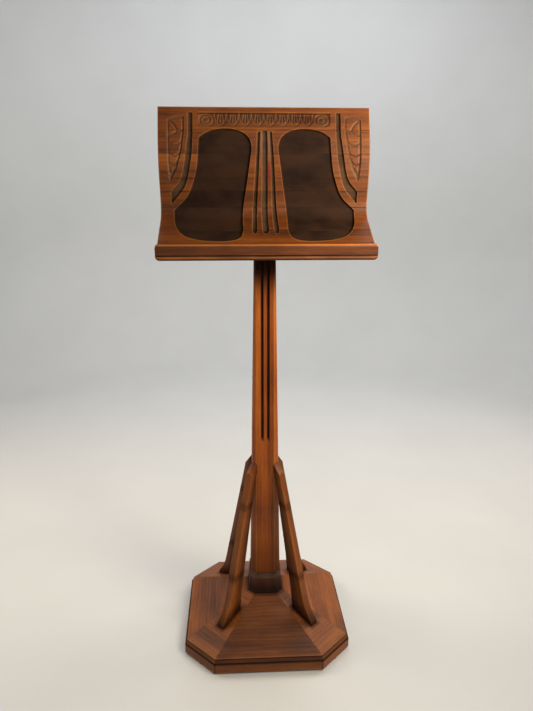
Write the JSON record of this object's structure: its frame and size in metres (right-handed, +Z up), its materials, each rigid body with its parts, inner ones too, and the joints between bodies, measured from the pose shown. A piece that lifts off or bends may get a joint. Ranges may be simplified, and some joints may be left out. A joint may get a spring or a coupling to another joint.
{
  "type": "music stand",
  "caption": "Carved wooden music stand: curved desk with a ledge, tapered fluted post, four raking braces and a stepped eight-sided base; the desk tilts on a clamped pivot.",
  "frame": {"origin": "on the floor under the middle of the base", "axes": "+Z up along the post; the reader stands on the -Y side, +X is to the reader's right"},
  "size_m": [0.46, 0.4, 1.2639],
  "materials": {
    "desk_wood": "waxed, warm brown, darker in the carving",
    "post_wood": "waxed, warm brown",
    "base_wood": "waxed, worn at the edges",
    "stained_wood": "dark stained",
    "plain_wood": "unfinished",
    "steel": "dull",
    "brass": "aged",
    "leather": "plain"
  },
  "bodies": {
    "stand": {"base_board_back": "base_wood", "base_board_front": "base_wood", "base_board_left": "base_wood", "base_board_right": "base_wood", "base_corner_back_left": "base_wood", "base_corner_back_right": "base_wood", "base_corner_front_left": "base_wood", "base_corner_front_right": "base_wood", "bearer_lower": "plain_wood", "bearer_screws": "steel", "bearer_upper": "plain_wood", "brace_back_left": "post_wood", "brace_back_right": "post_wood", "brace_dowels": "plain_wood", "brace_front_left": "post_wood", "brace_front_right": "post_wood", "brace_screws": "steel", "collar": "stained_wood", "column": "post_wood", "foot_pads": "stained_wood", "frame_clip_back_left": "base_wood", "frame_clip_back_right": "base_wood", "frame_clip_front_left": "base_wood", "frame_clip_front_right": "base_wood", "frame_rail_back": "base_wood", "frame_rail_front": "base_wood", "frame_rail_left": "base_wood", "frame_rail_right": "base_wood", "pad_screws": "steel", "socket_block": "plain_wood", "tenon_wedges": "plain_wood"},
    "desk": {"batten_left": "desk_wood", "batten_right": "desk_wood", "batten_screws": "steel", "desk_stave_1": "desk_wood", "desk_stave_2": "desk_wood", "desk_stave_3": "desk_wood", "desk_stave_4": "desk_wood", "desk_stave_5": "desk_wood", "desk_stave_6": "desk_wood", "desk_stave_7": "desk_wood", "ledge_rail": "desk_wood", "rail_dowels": "plain_wood", "yoke_cheek_left": "desk_wood", "yoke_cheek_right": "desk_wood", "yoke_dowels": "plain_wood", "yoke_screws": "steel", "yoke_spine": "desk_wood", "pivot_bolt": "brass", "bolt_washers": "brass", "friction_discs": "leather"},
    "knob": {"clamp_knob": "stained_wood", "knob_insert": "brass"}
  },
  "joints": [
    {"name": "desk_tilt", "type": "hinge", "parent": "stand", "child": "desk", "pos_m": [0, 0, 0.988], "axis": [1, 0, 0], "range_deg": [-35, 8]},
    {"name": "knob_turn", "type": "hinge", "parent": "desk", "child": "knob", "pos_m": [0.04, 0, 0.988], "axis": [1, 0, 0], "range_deg": [-30, 330]}
  ]
}
